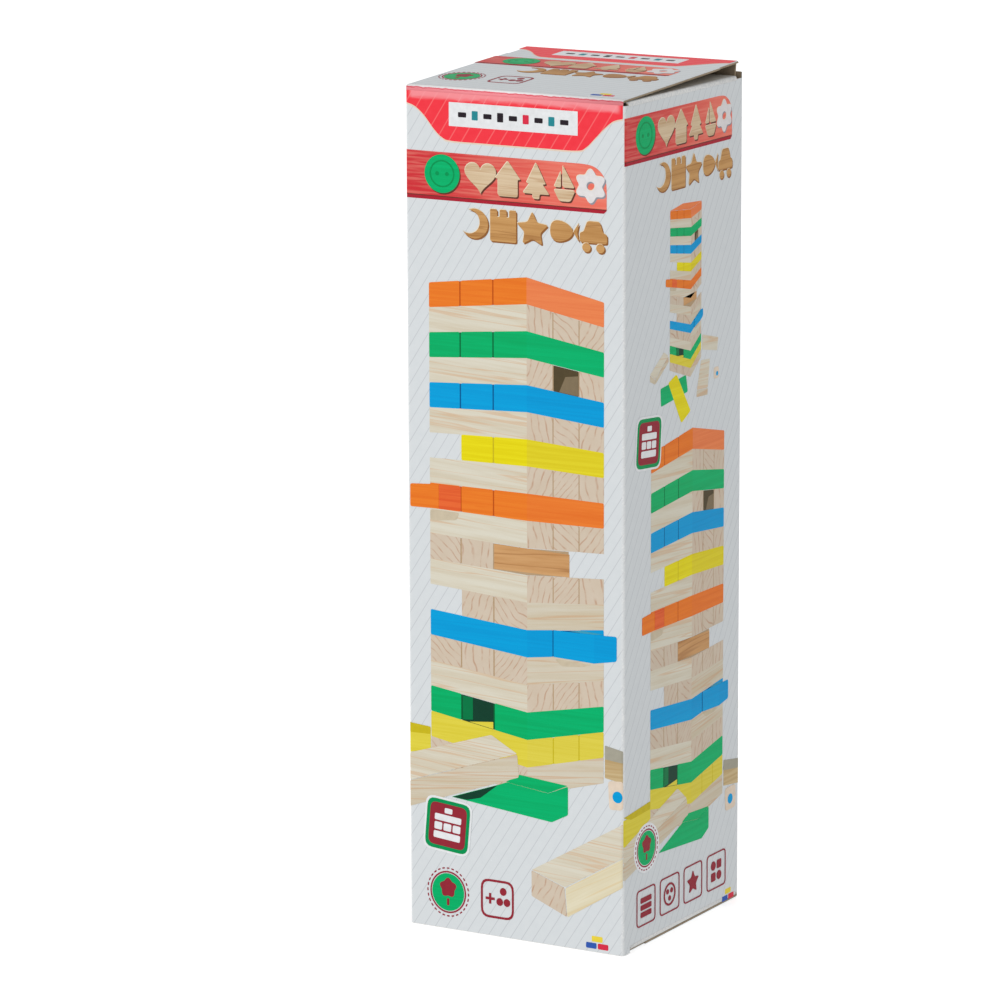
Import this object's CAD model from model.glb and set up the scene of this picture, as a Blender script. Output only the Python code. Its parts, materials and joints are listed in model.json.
# %% [markdown]
# # A tumbling-tower set in its printed carton
# The object is a tall folding-board carton with a lid that stands a little open. Inside it are
# 57 wooden blocks and a die. The packed model gives the board panels, the blocks and their
# hinges, and this lesson gives them their finish: varnished print, raw board and wood.
# The first step loads that model, which stays where it is. Everything else is placed from it.

# %% Load the frame
import json
import math

import bpy
from mathutils import Matrix, Vector


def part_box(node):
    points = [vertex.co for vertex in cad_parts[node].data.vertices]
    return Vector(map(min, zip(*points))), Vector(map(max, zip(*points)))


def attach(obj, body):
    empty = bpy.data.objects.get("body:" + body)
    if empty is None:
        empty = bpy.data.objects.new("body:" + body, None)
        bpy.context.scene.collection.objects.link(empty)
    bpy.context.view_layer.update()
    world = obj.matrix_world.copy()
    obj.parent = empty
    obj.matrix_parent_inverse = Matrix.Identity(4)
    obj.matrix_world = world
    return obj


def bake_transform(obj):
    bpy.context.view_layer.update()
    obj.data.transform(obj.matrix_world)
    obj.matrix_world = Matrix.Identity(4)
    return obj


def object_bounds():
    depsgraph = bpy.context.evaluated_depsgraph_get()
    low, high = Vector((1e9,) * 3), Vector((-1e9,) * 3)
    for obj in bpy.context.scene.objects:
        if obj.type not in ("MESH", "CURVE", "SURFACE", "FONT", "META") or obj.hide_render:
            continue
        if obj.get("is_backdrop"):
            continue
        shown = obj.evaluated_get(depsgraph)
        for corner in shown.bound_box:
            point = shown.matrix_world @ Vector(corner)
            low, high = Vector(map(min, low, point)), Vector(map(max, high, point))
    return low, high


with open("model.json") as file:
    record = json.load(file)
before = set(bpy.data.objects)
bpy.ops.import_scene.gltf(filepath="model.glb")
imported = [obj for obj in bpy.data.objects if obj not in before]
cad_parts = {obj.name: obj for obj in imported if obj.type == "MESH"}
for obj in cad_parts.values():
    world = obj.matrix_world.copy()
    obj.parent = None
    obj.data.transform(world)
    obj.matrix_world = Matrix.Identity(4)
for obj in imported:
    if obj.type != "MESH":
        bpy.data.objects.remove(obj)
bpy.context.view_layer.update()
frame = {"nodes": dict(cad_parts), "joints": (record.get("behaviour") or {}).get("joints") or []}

MM = 0.001

# %% [markdown]
# ## Measures that the later steps share
# A printer works on one flat panel at a time, in millimetres from its lower left corner, so the
# carton's width, depth and height are read from its sleeve once and kept in millimetres too.
# The lid's opening is how far its hinge can still close.

# %% The carton's measures
sleeve_low, sleeve_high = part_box("sleeve")
WIDE = (sleeve_high.x - sleeve_low.x) / MM
DEEP = (sleeve_high.y - sleeve_low.y) / MM
TALL = (sleeve_high.z - sleeve_low.z) / MM
BOARD = (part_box("base_panel")[1].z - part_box("base_panel")[0].z) / MM
CREASE = 1.2
lid_hinge = next(joint for joint in frame["joints"] if joint["name"] == "lid_hinge")
LID_AJAR = math.radians(-lid_hinge["range_deg"][0])
print("carton", round(WIDE, 2), round(DEEP, 2), round(TALL, 2), "board", round(BOARD, 2))

# %% [markdown]
# ## The camera
# A product shot of a tall box is taken from well back with a long lens, so that its uprights
# stay nearly parallel. The camera looks down by about 12 degrees and stands 30 degrees round to
# the right. Its turning is built from three directions: right, up and back.

# %% Camera
TURN, LOOK_DOWN, ROLL = math.radians(30.05), math.radians(11.89), -0.003
DISTANCE, ASIDE, RAISED = 1.7688, 0.02468, -0.00007
level = math.cos(LOOK_DOWN)
back = Vector((math.sin(TURN) * level, -math.cos(TURN) * level, math.sin(LOOK_DOWN)))
level_right = Vector((math.cos(TURN), math.sin(TURN), 0))
level_up = back.cross(level_right)
right = level_right * math.cos(ROLL) + level_up * math.sin(ROLL)
up = level_up * math.cos(ROLL) - level_right * math.sin(ROLL)
middle = Vector((0, 0, TALL * MM / 2))
lens = bpy.data.cameras.new("long_lens")
lens.lens, lens.sensor_width = 194.86, 36
lens.clip_start, lens.clip_end = 0.05, 50
camera = bpy.data.objects.new("camera", lens)
camera.rotation_mode = "QUATERNION"
camera.rotation_quaternion = Matrix((right, up, back)).transposed().to_quaternion()
camera.location = middle - right * ASIDE - up * RAISED + back * DISTANCE
bpy.context.scene.collection.objects.link(camera)
bpy.context.scene.camera = camera
print("camera at", [round(c, 3) for c in camera.location])

# %% [markdown]
# ## Working by selection
# An operator acts on all that is selected, so each step starts by clearing the selection and
# then picks one object. These two helpers do for the script what two clicks do by hand.

# %% Selecting
def pick(piece):
    bpy.ops.object.select_all(action="DESELECT")
    piece.select_set(True)
    bpy.context.view_layer.objects.active = piece
    return piece


def edit(piece):
    pick(piece)
    bpy.ops.object.mode_set(mode="EDIT")
    bpy.ops.mesh.select_all(action="SELECT")


def leave_edit():
    bpy.ops.object.mode_set(mode="OBJECT")


# %% [markdown]
# ## Shader maths
# A finish is a small graph of nodes. Writing it as sums is easier to read, so one class holds
# a node's output and turns +, -, * and / into Math nodes. Other operations, such as a square
# root, go by their name.

# %% Wires
class Wire:
    """The output of a node, which can be used in sums."""

    def __init__(self, finish, socket):
        self.finish, self.socket = finish, socket

    def sum(self, operation, first, second):
        return self.finish.node("ShaderNodeMath", {"operation": operation}, {0: first, 1: second})

    def __add__(self, other):
        return self.sum("ADD", self, other)

    def __sub__(self, other):
        return self.sum("SUBTRACT", self, other)

    def __rsub__(self, other):
        return self.sum("SUBTRACT", other, self)

    def __mul__(self, other):
        return self.sum("MULTIPLY", self, other)

    def __truediv__(self, other):
        return self.sum("DIVIDE", self, other)

    def __gt__(self, other):
        return self.sum("GREATER_THAN", self, other)

    def __abs__(self):
        return self.apply("ABSOLUTE")

    def apply(self, operation, other=0):
        return self.sum(operation, self, other)

    __radd__, __rmul__ = __add__, __mul__


print("wires add, take away, multiply, divide and compare")

# %% [markdown]
# A second class holds the material. Its node method takes a node's type, its settings, and the
# values or wires of its sockets. The others are short names for the nodes used most. Places
# are in millimetres in the frame, so a pattern keeps its size whatever piece it is on.

# %% Finishes
class Finish:
    """A material, its node tree and the shader at its end."""

    def __init__(self, name, roughness, **fixed):
        self.material = bpy.data.materials.new(name)
        self.material.use_nodes = True
        self.tree = self.material.node_tree
        self.shader = self.tree.nodes["Principled BSDF"]
        self.shader.inputs["Roughness"].default_value = roughness
        self.shader.inputs["Specular IOR Level"].default_value = 0.06
        for socket, value in fixed.items():
            self.shader.inputs[socket.replace("_", " ")].default_value = value

    def join(self, value, socket):
        if isinstance(value, Wire):
            self.tree.links.new(value.socket, socket)
        else:
            socket.default_value = value

    def node(self, kind, settings=None, values=None, output=0):
        made = self.tree.nodes.new(kind)
        for key, value in (settings or {}).items():
            if key == "stops":
                self.set_stops(made.color_ramp, value)
            else:
                setattr(made, key, value)
        for key, value in (values or {}).items():
            self.join(value, made.inputs[key])
        return Wire(self, made.outputs[output])

    def set_stops(self, ramp, stops):
        while len(ramp.elements) < len(stops):
            ramp.elements.new(0.5)
        for element, (position, colour) in zip(ramp.elements, stops):
            element.position, element.color = position, colour

    def place(self):
        """Where a point is in the frame, in millimetres."""
        spot = self.node("ShaderNodeTexCoord", output="Object")
        return self.node("ShaderNodeVectorMath", {"operation": "SCALE"}, {0: spot, "Scale": 1 / MM})

    def split(self, vector):
        parts = self.node("ShaderNodeSeparateXYZ", values={0: vector})
        outputs = parts.socket.node.outputs
        return [Wire(self, outputs[axis]) for axis in "XYZ"]

    def vector(self, x, y, z):
        return self.node("ShaderNodeCombineXYZ", values={"X": x, "Y": y, "Z": z})

    def blend(self, factor, first, second):
        settings = {"data_type": "RGBA"}
        return self.node("ShaderNodeMix", settings, {0: factor, 6: first, 7: second}, output=2)

    def ramp(self, value, stops):
        return self.node("ShaderNodeValToRGB", {"stops": stops}, {0: value})

    def noise(self, vector, scale, detail=3, distortion=0):
        values = {"Vector": vector, "Scale": scale, "Detail": detail, "Distortion": distortion}
        return self.node("ShaderNodeTexNoise", values=values)

    def ease(self, value, start, end):
        """0 below start, 1 above end, smooth between."""
        values = {"Value": value, "From Min": start, "From Max": end}
        return self.node("ShaderNodeMapRange", {"interpolation_type": "SMOOTHSTEP"}, values)

    def paint(self, colour, roughness=None):
        self.join(colour, self.shader.inputs["Base Color"])
        if roughness is not None:
            self.join(roughness, self.shader.inputs["Roughness"])

    def emboss(self, height, depth):
        """Bump: height from 0 to 1 stands for a depth in millimetres."""
        values = {"Height": height, "Distance": depth * MM, "Strength": 0.6}
        self.join(self.node("ShaderNodeBump", values=values), self.shader.inputs["Normal"])


print("finish:", Finish.__doc__)

# %% [markdown]
# Colours are picked from a paint chart in steps from 0 to 255. The shader wants them in linear
# light, so one function opens them up.

# %% The paint chart
def tint(red, green, blue):
    """A colour from a paint chart, 0 to 255, as the shader wants it."""
    def open_up(part):
        part /= 255
        return part / 12.92 if part <= 0.04045 else ((part + 0.055) / 1.055) ** 2.4

    return (open_up(red), open_up(green), open_up(blue), 1)


print("grey card:", [round(c, 3) for c in tint(128, 128, 128)])

# %% [markdown]
# ## Floor, light and background
# Packshots stand on white card that runs out of sight, under broad soft lights. One large floor
# does that here. A pale world lights every side, and a wide lamp on the left makes the front
# a little brighter than the side, which is what shows the box's form. The floor is kept out of
# the bounced light, so the side has the same even tone from its top to its foot.

# %% Floor and lights
bpy.ops.object.select_all(action="DESELECT")
bpy.ops.mesh.primitive_circle_add(vertices=96, radius=14, fill_type="NGON", location=(0, 0, -0.0002))
floor = bpy.context.object
floor.name = "white_card_floor"
card = Finish("white_card", 0.9, Emission_Color=(1, 1, 1, 1), Emission_Strength=0.45)
card.paint(card.blend(card.noise(card.place(), 0.01), tint(250, 250, 250), tint(252, 252, 253)))
floor.data.materials.append(card.material)
floor.visible_diffuse = False
floor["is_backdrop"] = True

world = bpy.data.worlds.new("pale_studio")
world.use_nodes = True
world.node_tree.nodes["Background"].inputs["Color"].default_value = (1, 1, 1, 1)
world.node_tree.nodes["Background"].inputs["Strength"].default_value = 0.72
bpy.context.scene.world = world


def soft_light(name, place, size, power):
    lamp = bpy.data.lights.new(name, "AREA")
    lamp.size, lamp.energy = size, power
    holder = bpy.data.objects.new(name, lamp)
    holder.location = place
    holder.rotation_mode = "QUATERNION"
    holder.rotation_quaternion = (middle - Vector(place)).to_track_quat("-Z", "Y")
    bpy.context.scene.collection.objects.link(holder)


soft_light("key_left", (-1.0, -2.4, 0.5), 1.6, 25)
bpy.context.scene.view_settings.view_transform = "Standard"

# %% [markdown]
# ## The carton board
# Folding board is grey-brown pulp with one white, printed and varnished side. The print here is
# a pale cool grey with thin slanting lines. The same sheet shows both sides, so the finish tells
# them apart by where a point is: the outer quarter of the thickness is the printed skin, and
# the rest, with every cut edge, is raw pulp.

# %% Raw pulp and pinstripes
STRIPE_RISE = math.radians(57)
STRIPE_EVERY = 3.4


def raw_pulp(finish, place):
    fibres = finish.noise(place, 1.6, 8)
    clouds = finish.noise(place, 0.12, 3)
    stops = [(0.3, tint(138, 122, 102)), (0.7, tint(172, 156, 134))]
    colour = finish.ramp(fibres * 0.6 + clouds * 0.4, stops)
    return colour, fibres


def pinstripes(finish, across, upward, place):
    """Grey lines that rise to the right, on a face measured across and upward."""
    count = (across * math.sin(STRIPE_RISE) - upward * math.cos(STRIPE_RISE)) / STRIPE_EVERY
    near_line = abs(count.apply("FRACT") - 0.5)
    line = 1 - finish.ease(near_line, 0.015, 0.06)
    mottle = finish.noise(place, 0.35, 4)
    paper = finish.blend(mottle, tint(214, 219, 222), tint(222, 226, 228))
    return finish.blend(line * 0.7, paper, tint(190, 194, 198))


# %% [markdown]
# The sleeve's four walls are told apart by which of a point's two plan coordinates is the
# larger. Along the upright creases the varnish is rubbed, so the lines fade out there and a
# few white specks of bare paper show.

# %% The sleeve's finish
def sleeve_finish():
    finish = Finish("sleeve_board", 0.5)
    place = finish.place()
    x, y, z = finish.split(place)
    size_x, size_y = abs(x), abs(y)
    half = WIDE / 2
    past_x = (size_x - (half - CREASE)).apply("MAXIMUM")
    past_y = (size_y - (half - CREASE)).apply("MAXIMUM")
    reach = (past_x * past_x + past_y * past_y).apply("SQRT")
    outer = reach > CREASE - BOARD / 4
    side_wall = size_x > size_y
    sign_x = x.apply("SIGN")
    sign_y = y.apply("SIGN")
    across = side_wall * (y * sign_x) - (1 - side_wall) * (x * sign_y)
    colour = pinstripes(finish, across, z, place)
    from_corner = half - size_x.apply("MINIMUM", size_y)
    rubbed = 1 - finish.ease(from_corner, 0.5, 1.3)
    specks = finish.ease(finish.noise(place, 1.4, 5), 0.55, 0.62)
    colour = finish.blend(rubbed * (0.45 + specks * 0.55), colour, tint(240, 241, 241))
    pulp, fibres = raw_pulp(finish, place)
    finish.paint(finish.blend(outer, pulp, colour), 0.85 - outer * 0.42)
    finish.emboss(fibres * (1 - outer) + outer * finish.noise(place, 0.3, 2) * 0.3, 0.06)
    return finish.material


def dress(node, material):
    """Give a packed node its finish. Its mesh and place stay as they are."""
    mesh = frame["nodes"][node].data
    mesh.materials.clear()
    mesh.materials.append(material)
    for polygon in mesh.polygons:
        polygon.material_index = 0


sleeve_board = sleeve_finish()
dress("sleeve", sleeve_board)
print("sleeve dressed")

# %% [markdown]
# The loose panels are simpler: each is one flat board with its printed side on one plane. The
# finish measures how far a point is behind that plane. The lid shows the pinstripes. The flaps
# and tongues are printed plain white outside.

# %% The flat panels' finish
def panel_finish(name, on_plane, normal, striped):
    finish = Finish(name, 0.5)
    place = finish.place()
    offset = finish.node("ShaderNodeVectorMath", {"operation": "SUBTRACT"}, {0: place, 1: on_plane})
    dot = {"operation": "DOT_PRODUCT"}
    height = finish.node("ShaderNodeVectorMath", dot, {0: offset, 1: normal}, output="Value")
    outer = height > -BOARD / 4
    x, y, z = finish.split(place)
    if striped:
        colour = pinstripes(finish, x, y, place)
    else:
        colour = finish.blend(finish.noise(place, 0.35, 4), tint(208, 205, 198), tint(226, 224, 218))
    pulp, fibres = raw_pulp(finish, place)
    finish.paint(finish.blend(outer, pulp, colour), 0.85 - outer * 0.42)
    finish.emboss(fibres * (1 - outer), 0.06)
    return finish.material


lid_normal = (0, -math.sin(LID_AJAR), math.cos(LID_AJAR))
dress("lid", panel_finish("lid_board", (0, -DEEP / 2, TALL), lid_normal, True))
low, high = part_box("lid_tongue")
tongue_face = (0, high.y / MM, low.z / MM)
dress("lid_tongue", panel_finish("lid_tongue_board", tongue_face, (0, 1, -0.1), False))
base_face = (0, 0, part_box("base_panel")[0].z / MM)
dress("base_panel", panel_finish("base_board", base_face, (0, 0, -1), True))
tongue_face = (0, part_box("base_tongue")[0].y / MM, 0)
dress("base_tongue", panel_finish("base_tongue_board", tongue_face, (0, -1, 0), False))
FLAP_AJAR = LID_AJAR / 2
for side, sign in (("left", -1), ("right", 1)):
    node = "dust_flap_" + side
    low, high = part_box(node)
    free_end = (min(low.x, high.x, key=abs) / MM, 0, high.z / MM)
    rising = (sign * math.sin(FLAP_AJAR), 0, math.cos(FLAP_AJAR))
    dress(node, panel_finish(node + "_board", free_end, rising, False))
for node in ("base_flap_left", "base_flap_right"):
    face = (0, 0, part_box(node)[0].z / MM)
    dress(node, panel_finish(node + "_board", face, (0, 0, -1), False))
print("panels dressed")

# %% [markdown]
# ## The wooden blocks
# The blocks are pine, sawn along the grain, sanded and left bare or stained. Growth rings are
# long thin tubes round the heart of the tree, so a block shows long streaks on its sides and
# arcs on its ends. The finish bends the distance from a far-off heart with noise and cuts it
# into bands. Odd levels run front to back and even ones run across, so there are two directions.

# %% Block wood
BLOCK_WIDE, BLOCK_HIGH, STACK_FOOT = 25, 13.5, 1.9
RING_EVERY = 3.1


def block_wood(name, pale, dark, along, strength, roughness):
    finish = Finish(name, roughness)
    place = finish.place()
    x, y, z = finish.split(place)
    length, side = (x, y) if along == "x" else (y, x)
    block = (side / BLOCK_WIDE + 0.5).apply("FLOOR")
    level = ((z - STACK_FOOT) / BLOCK_HIGH).apply("FLOOR")
    drift = finish.noise(finish.vector(length * 0.02, side * 0.1, z * 0.1 + block * 3.7), 1, 3)
    heart_side = side + block * 17 + 20
    heart_up = z + level * 5.3 + 30 - level * BLOCK_HIGH
    radius = (heart_side * heart_side + heart_up * heart_up).apply("SQRT")
    rings = (radius / RING_EVERY + drift * 4).apply("FRACT")
    late_wood = finish.ease(rings, 0.45, 0.92) * (1 - finish.ease(rings, 0.94, 1.0))
    pores = finish.noise(finish.vector(length * 0.25, side * 4, z * 4), 1, 4)
    shade = late_wood * strength + pores * 0.25 * strength
    finish.paint(finish.blend(shade, pale, dark), roughness - 0.06 + pores * 0.14)
    finish.emboss(late_wood * 0.6 + pores * 0.4, 0.05)
    return finish.material


STAINS = {
    "natural": (tint(232, 214, 180), tint(196, 148, 98), 0.75, 0.6),
    "orange": (tint(238, 128, 48), tint(214, 98, 28), 0.5, 0.42),
    "green": (tint(0, 168, 104), tint(0, 134, 84), 0.5, 0.42),
    "blue": (tint(0, 148, 218), tint(0, 112, 184), 0.5, 0.42),
    "yellow": (tint(242, 222, 30), tint(222, 192, 14), 0.5, 0.42),
}
LEVELS = (
    "orange natural green natural blue natural yellow natural orange natural natural natural natural "
    "blue natural natural green yellow natural"
).split()
woods = {
    (stain, along): block_wood(stain + "_wood_along_" + along, pale, dark, along, strength, roughness)
    for stain, (pale, dark, strength, roughness) in STAINS.items()
    for along in "xy"
}
block_count = 0
for node in frame["nodes"]:
    stain = node.split("_")[0]
    if stain in STAINS:
        low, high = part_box(node)
        if stain == "natural":
            along = "x" if int(node.split("_")[-1]) % 2 == 0 else "y"
        else:
            along = "x" if high.x - low.x > high.y - low.y else "y"
        dress(node, woods[stain, along])
        block_count += 1
print("block nodes dressed:", block_count)

# %% [markdown]
# ## The die
# The die is a maple cube tumbled round, with a painted spot on each face, one for each stain.
# The spots are painted, not inlaid, so they belong in the finish: a point's distance from each
# of the three middle axes of the cube gives a disc, and the side it is on gives its colour.

# %% Die finish
die_low, die_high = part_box("die")
die_middle = (die_low + die_high) / 2 / MM
SPOT = 3.4
die_finish = Finish("die_maple", 0.45)
from_middle = die_finish.node(
    "ShaderNodeVectorMath", {"operation": "SUBTRACT"}, {0: die_finish.place(), 1: tuple(die_middle)}
)
die_axes = die_finish.split(from_middle)
stretched = die_finish.vector(die_axes[0] * 0.2, die_axes[1] * 1.4, die_axes[2] * 1.4)
grain = die_finish.noise(stretched, 1, 4, 0.4)
die_colour = die_finish.blend(grain, tint(238, 222, 196), tint(218, 192, 156))
spot_stains = [("blue", "orange"), ("yellow", "green"), ("natural", "blue")]
for number, (above, below) in enumerate(spot_stains):
    first, second, third = die_axes[number], die_axes[number - 1], die_axes[number - 2]
    reach = (second * second + third * third).apply("SQRT")
    spot = (1 - die_finish.ease(reach, SPOT - 0.12, SPOT + 0.12)) * (abs(first) > 4)
    spot_colour = die_finish.blend(first > 0, STAINS[below][1], STAINS[above][1])
    die_colour = die_finish.blend(spot, die_colour, spot_colour)
die_finish.paint(die_colour, 0.4 + grain * 0.12)
dress("die", die_finish.material)
print("die at", [round(c, 1) for c in die_middle])

# %% [markdown]
# ## Inks
# The carton is printed with flat colours and pictures of wood. Each ink gets its own finish.
# Offset print is never quite even, so a plain ink is mottled a little. The wood inks carry a
# printed grain: streaks for the long sides of a block, slanting lines for its sawn ends.

# %% Plain and wooden inks
inks = {}


def plain_ink(name, colour, deeper=0.06):
    finish = Finish(name + "_ink", 0.42)
    place = finish.place()
    mottle = finish.noise(place, 0.5, 5) * 0.7 + finish.noise(place, 6, 2) * 0.3
    dark = tuple(part * (1 - deeper * 2.4) for part in colour[:3]) + (1,)
    light = tuple(min(1, part * (1 + deeper)) for part in colour[:3]) + (1,)
    stops = [(0.25, dark), (0.75, light)]
    finish.paint(finish.ramp(mottle, stops), 0.38 + mottle * 0.1)
    inks[name] = finish.material


def picture_place(finish, slope, lid=False):
    """Across, with the grain, and upward on a printed panel. The walls share one pair."""
    x, y, z = finish.split(finish.place())
    across = x if lid else x + y
    upward = y if lid else z
    return across, upward - across * slope


def streaky_ink(name, pale, dark, line, slope=0.0, tight=0.55, lid=False):
    """Side grain: long soft streaks, with a thin darker line here and there."""
    finish = Finish(name + "_ink", 0.42)
    across, upward = picture_place(finish, slope, lid)
    broad = finish.noise(finish.vector(across * 0.014, upward * tight, 1.3), 1, 4, 0.3)
    fine = finish.noise(finish.vector(across * 0.09, upward * tight * 4, 7.1), 1, 3, 0.2)
    colour = finish.blend(finish.ease(broad * 0.7 + fine * 0.3, 0.34, 0.68), pale, dark)
    crest = abs(finish.noise(finish.vector(across * 0.011, upward * tight * 0.8, 4.4), 1, 2, 0.2) - 0.5)
    ridge = 1 - finish.ease(crest, 0.0, 0.035)
    finish.paint(finish.blend(ridge * 0.6, colour, line), 0.38 + fine * 0.1)
    inks[name] = finish.material


def sawn_ink(name, lean, every):
    """End grain: growth rings cut across, as lines that lean one way and bend a little."""
    finish = Finish(name + "_ink", 0.42)
    across, upward = picture_place(finish, 0)
    bend = finish.noise(finish.vector(across * 0.07, upward * 0.07, lean), 1, 2)
    count = (across * math.cos(lean) + upward * math.sin(lean)) / every + bend * 3
    near = abs(count.apply("FRACT") - 0.5)
    strong = finish.noise(finish.vector(across * 0.3, upward * 0.3, 9), 1, 2)
    cloud = finish.noise(finish.vector(across * 0.2, upward * 0.2, 5), 1, 3)
    colour = finish.blend(cloud, tint(216, 202, 184), tint(206, 188, 166))
    ring = (1 - finish.ease(near, 0.02, 0.15)) * finish.ease(strong, 0.3, 0.65) * 0.6
    finish.paint(finish.blend(ring, colour, tint(180, 128, 94)), 0.42)
    inks[name] = finish.material


PLAIN_INKS = {
    "white": (236, 238, 240), "cream": (234, 216, 196), "maroon": (152, 42, 56), "green": (0, 150, 84),
    "charcoal": (38, 30, 38), "gap": (186, 158, 124), "shadow": (98, 56, 44), "hollow": (84, 72, 48),
    "deep_red": (176, 34, 52), "mark_blue": (52, 92, 180), "mark_red": (222, 48, 74),
    "mark_yellow": (240, 216, 70), "tan_shadow": (150, 98, 52), "frame_white": (232, 228, 228),
    "teal": (40, 140, 150), "grey_shadow": (150, 150, 160), "light_wood": (244, 230, 204),
    "hollow_green": (14, 62, 44), "green_dim": (0, 122, 70), "hollow_pale": (132, 116, 90),
    "orange_joint": (196, 84, 20), "green_joint": (0, 104, 56), "blue_joint": (0, 92, 150),
    "yellow_joint": (206, 188, 30), "wood_shadow": (208, 194, 168), "blue_top": (64, 160, 190),
    "behind_top": (170, 166, 150),
}
for ink_name, colour in PLAIN_INKS.items():
    plain_ink(ink_name, tint(*colour))
streaky_ink("side", tint(222, 217, 200), tint(212, 201, 178), tint(214, 176, 138), -0.06, 0.42)
streaky_ink("side_dim", tint(214, 206, 188), tint(206, 192, 166), tint(206, 166, 128), 0.12, 0.42)
streaky_ink("near_side", tint(230, 222, 194), tint(222, 210, 176), tint(222, 198, 150), 0.55, 0.3)
streaky_ink("behind", tint(210, 188, 144), tint(186, 158, 112), tint(190, 160, 112), 0.02)
streaky_ink("warm", tint(212, 164, 112), tint(192, 140, 88), tint(164, 112, 68), 0.04, 0.25)
streaky_ink("toy_pale", tint(224, 202, 170), tint(206, 178, 142), tint(190, 150, 110))
streaky_ink("toy_tan", tint(206, 158, 100), tint(184, 134, 78), tint(160, 108, 60))
SAWN = {
    "sawn_steep": (-0.45, 2.4), "sawn_flat": (0.85, 2.3),
    "sawn_upright": (0.12, 2.7), "sawn_fine": (-0.7, 1.6),
}
for ink_name, (lean, every) in SAWN.items():
    sawn_ink(ink_name, lean, every)
STAINED_INKS = {
    "orange_left": ((240, 130, 42), (232, 116, 34)), "orange_right": ((240, 138, 84), (232, 124, 74)),
    "green_left": ((0, 182, 108), (0, 170, 98)), "green_right": ((0, 184, 112), (0, 172, 102)),
    "blue_left": ((0, 164, 224), (0, 154, 216)), "blue_right": ((0, 160, 222), (0, 150, 212)),
    "yellow_left": ((238, 226, 26), (228, 212, 12)), "yellow_right": ((230, 216, 44), (220, 202, 32)),
    "yellow_low": ((228, 214, 74), (220, 204, 58)), "yellow_side": ((226, 212, 80), (218, 202, 64)),
    "orange_low": ((238, 128, 50), (230, 114, 40)),
}
for ink_name, (pale, dark) in STAINED_INKS.items():
    streaky_ink(ink_name, tint(*pale), tint(*dark), tint(*dark), 0.0, 0.9)
streaky_ink("mark_orange", tint(236, 108, 54), tint(226, 92, 44), tint(220, 84, 40), 0, 0.9)
print("inks:", len(inks))

# %% [markdown]
# Two inks are made for one place each: the header, with lighter slanting lines, and the long
# title board, which pictures a red painted plank that fades to salmon on the right. Where the
# header folds over onto the lid its varnish is stretched, and it shines pink in a narrow band.

# %% Header and title board inks
def header_ink(name, lid):
    finish = Finish(name + "_ink", 0.36)
    x, y, z = finish.split(finish.place())
    upward = y if lid else z
    count = (x * math.sin(STRIPE_RISE) - upward * math.cos(STRIPE_RISE)) / 3.9
    near = abs(count.apply("FRACT") - 0.5)
    line = 1 - finish.ease(near, 0.02, 0.07)
    mottle = finish.noise(finish.place(), 0.4, 4)
    red = finish.blend(mottle, tint(242, 48, 62), tint(250, 66, 78))
    red = finish.blend(line * 0.6, red, tint(252, 128, 128))
    if not lid:
        uneven = finish.noise(finish.vector(x * 0.12, z * 0.5, 6), 1, 3, 0.6)
        shine = finish.ease(upward + uneven * 2.6 + abs(x - 6) * 0.012, TALL - 2.9, TALL - 1.1)
        shine = shine * finish.ease(WIDE / 2 - abs(x), 1.0, 3.0)
        red = finish.blend(shine * 0.62, red, tint(250, 176, 182))
    finish.paint(red, 0.34 + mottle * 0.08)
    inks[name] = finish.material


def plank_ink(name, lid, turn):
    """turn picks the coordinate that runs along the plank: 0 is x and 1 is y."""
    finish = Finish(name + "_ink", 0.38)
    x, y, z = finish.split(finish.place())
    run = (x, y)[turn]
    upward = y if lid else z
    fade = finish.ease(abs(run + WIDE / 2), 5, 78)
    red = finish.blend(fade, tint(208, 48, 56), tint(238, 116, 98))
    streak = finish.noise(finish.vector(run * 0.06, upward * 1.1, 3), 1, 5, 0.4)
    finish.paint(finish.blend(finish.ease(streak, 0.35, 0.72) * 0.35, red, tint(250, 170, 150)), 0.4)
    finish.emboss(streak, 0.02)
    inks[name] = finish.material


header_ink("header", False)
header_ink("lid_header", True)
plank_ink("plank_front", False, 0)
plank_ink("plank_right", False, 1)
plank_ink("plank_lid", True, 0)
print("inks:", len(inks))

# %% [markdown]
# ## Shapes for the print
# A printed shape is an outline in millimetres. A few helpers draw the outlines that repeat:
# a polygon with rounded corners, a flowing line through points, discs, bars and rings. A hole
# is one more outline inside the first.

# %% Outline helpers
def rounded(corners, radius, steps=4):
    """A polygon with its corners rounded, by one radius or by one for each corner."""
    outline = []
    for number, here in enumerate(corners):
        here = Vector(here)
        before, after = Vector(corners[number - 1]), Vector(corners[(number + 1) % len(corners)])
        to_before, to_after = (before - here), (after - here)
        own = radius[number] if isinstance(radius, tuple) else radius
        if own == 0:
            outline.append((here.x, here.y))
            continue
        reach = min(own, to_before.length * 0.45, to_after.length * 0.45)
        start = here + to_before.normalized() * reach
        end = here + to_after.normalized() * reach
        for step in range(steps + 1):
            t = step / steps
            spot = start * (1 - t) ** 2 + here * 2 * t * (1 - t) + end * t**2
            outline.append((spot.x, spot.y))
    return outline


def flowing(points, steps=5):
    """A smooth open line through points."""
    line = []
    for number in range(len(points) - 1):
        a = Vector(points[max(number - 1, 0)])
        b, c = Vector(points[number]), Vector(points[number + 1])
        d = Vector(points[min(number + 2, len(points) - 1)])
        for step in range(steps):
            t = step / steps
            bend, twist = 2 * a - 5 * b + 4 * c - d, 3 * b - a - 3 * c + d
            spot = (2 * b + (c - a) * t + bend * t**2 + twist * t**3) / 2
            line.append((spot.x, spot.y))
    return line + [tuple(points[-1])]


def full_turn(count):
    return [2 * math.pi * step / count for step in range(count)]


def disc(x, z, radius, count=32):
    return [(x + radius * math.cos(turn), z + radius * math.sin(turn)) for turn in full_turn(count)]


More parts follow.
